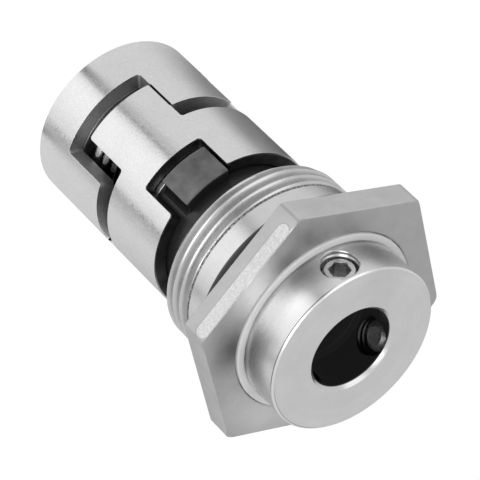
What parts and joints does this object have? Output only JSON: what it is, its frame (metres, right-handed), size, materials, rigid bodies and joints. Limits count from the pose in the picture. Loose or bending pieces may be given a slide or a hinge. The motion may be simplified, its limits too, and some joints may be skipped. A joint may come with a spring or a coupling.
{
  "type": "cartridge mechanical seal",
  "caption": "Cartridge shaft seal: hexagonal threaded gland, castellated cup and drive ring with a coil spring inside, lock collar with set screws.",
  "frame": {"origin": "middle of the spring cup's rim, on the shaft axis", "axes": "+Z along the shaft axis from the spring cup to the lock collar"},
  "size_m": [0.0386, 0.0368, 0.0548],
  "materials": {
    "turned_steel": "turned",
    "blasted_steel": "finely blasted",
    "collar_steel": "turned, satin",
    "gland_steel": "turned, hexagon flats grainy",
    "screw_steel": "plain",
    "spring_steel": "drawn",
    "carbon": "lapped",
    "rubber": "smooth",
    "white_plastic": "matte"
  },
  "bodies": {
    "sleeve_unit": {"shaft_sleeve": "turned_steel", "shaft_o_ring": "rubber", "spring_cup": "blasted_steel", "lock_collar": "collar_steel"},
    "set_screw_1": {"set_screw_1": "screw_steel"},
    "set_screw_2": {"set_screw_2": "screw_steel"},
    "set_screw_3": {"set_screw_3": "screw_steel"},
    "spring_unit": {"coil_spring": "spring_steel", "spring_washer": "turned_steel"},
    "drive_unit": {"drive_ring": "blasted_steel", "backup_washer": "turned_steel"},
    "seal_unit": {"seal_ring": "carbon", "seal_ring_o_ring": "rubber"},
    "gland_unit": {"gland": "gland_steel", "gland_o_ring": "rubber", "stationary_seat": "carbon", "seat_o_ring": "rubber", "seat_lock_pin": "turned_steel", "spacer_ring": "white_plastic"}
  },
  "joints": [
    {"name": "set_screw_1_travel", "type": "slide", "parent": "sleeve_unit", "child": "set_screw_1", "axis": [-0.4818, 0.8763, 0], "range_m": [-0.0005, 0.00085]},
    {"name": "set_screw_2_travel", "type": "slide", "parent": "sleeve_unit", "child": "set_screw_2", "axis": [-0.518, -0.8554, 0], "range_m": [-0.0005, 0.00085]},
    {"name": "set_screw_3_travel", "type": "slide", "parent": "sleeve_unit", "child": "set_screw_3", "axis": [0.9998, -0.0209, 0], "range_m": [-0.0005, 0.00085]},
    {"name": "drive_ring_play", "type": "hinge", "parent": "sleeve_unit", "child": "spring_unit", "pos_m": [0, 0, 0.0125], "axis": [0, 0, 1], "range_deg": [0, 17]},
    {"name": "spring_travel", "type": "slide", "parent": "spring_unit", "child": "drive_unit", "axis": [0, 0, -1], "range_m": [0, 0.0025], "stiffness_N_per_m": 1900, "springref_m": -0.01, "deforming": ["coil_spring"]},
    {"name": "seal_ring_play", "type": "hinge", "parent": "drive_unit", "child": "seal_unit", "pos_m": [0, 0, 0.0258], "axis": [0, 0, 1], "range_deg": [0, 6]},
    {"name": "shaft_spin", "type": "hinge", "parent": "seal_unit", "child": "gland_unit", "pos_m": [0, 0, 0.0345], "axis": [0, 0, 1], "continuous": true}
  ]
}
